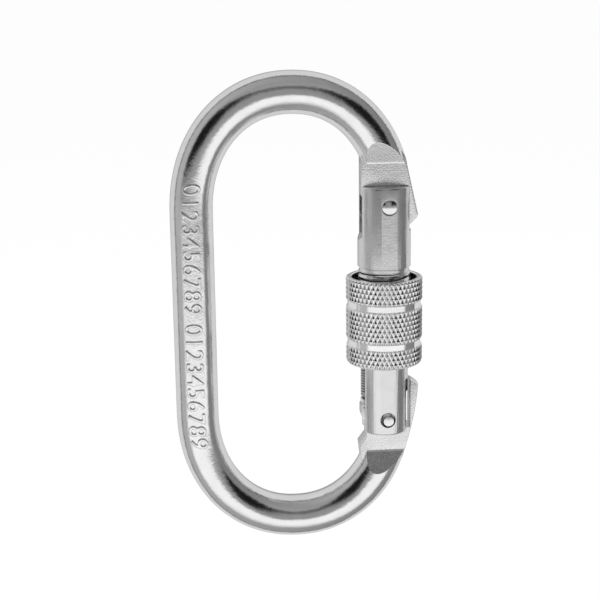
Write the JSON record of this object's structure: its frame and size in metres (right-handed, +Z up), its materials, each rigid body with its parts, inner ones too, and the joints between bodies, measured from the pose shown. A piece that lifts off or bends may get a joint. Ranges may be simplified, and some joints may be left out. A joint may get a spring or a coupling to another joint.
{
  "type": "oval screw-lock carabiner",
  "caption": "Steel oval screw-lock carabiner: bent round rod, sprung gate bar on a hinge rivet, latch pin, and a knurled locking sleeve that slides up over the nose",
  "frame": {"origin": "on the inner surface of the top bow, in the middle of its crown, where the carabiner hangs", "axes": "+Z up along the oval's length, +X towards the gate, -Y towards the viewer (across the rod's thickness)"},
  "size_m": [0.0576, 0.0176, 0.11],
  "materials": {
    "frame_steel": "bright plated, polished bent rod",
    "gate_steel": "bright plated, fine turned",
    "pin_steel": "bright plated",
    "spring_steel": "drawn spring wire",
    "plunger_steel": "turned",
    "sleeve_steel": "bright plated, diamond knurled with two turned grooves"
  },
  "bodies": {
    "frame": {"frame_body": "frame_steel", "hinge_rivet": "pin_steel"},
    "gate": {"gate_bar": "gate_steel", "latch_pin": "pin_steel"},
    "sleeve": {"locking_sleeve": "sleeve_steel"},
    "plunger": {"spring_plunger": "plunger_steel", "gate_spring": "spring_steel"}
  },
  "joints": [
    {"name": "gate_hinge", "type": "hinge", "parent": "frame", "child": "gate", "pos_m": [0.02155, 0, -0.0713], "axis": [0, -1, 0], "range_deg": [0, 35], "stiffness_Nm_per_rad": 0.15, "springref_deg": -45.84},
    {"name": "sleeve_travel", "type": "slide", "parent": "gate", "child": "sleeve", "axis": [0, 0, 1], "range_m": [0, 0.0134]},
    {"name": "plunger_travel", "type": "slide", "parent": "gate", "child": "plunger", "axis": [0, 0, 1], "range_m": [0, 0.0032], "deforming": ["gate_spring"]}
  ],
  "couplings": [
    {"joint": "plunger_travel", "follows": "gate_hinge", "m_per_rad": 0.0049}
  ]
}
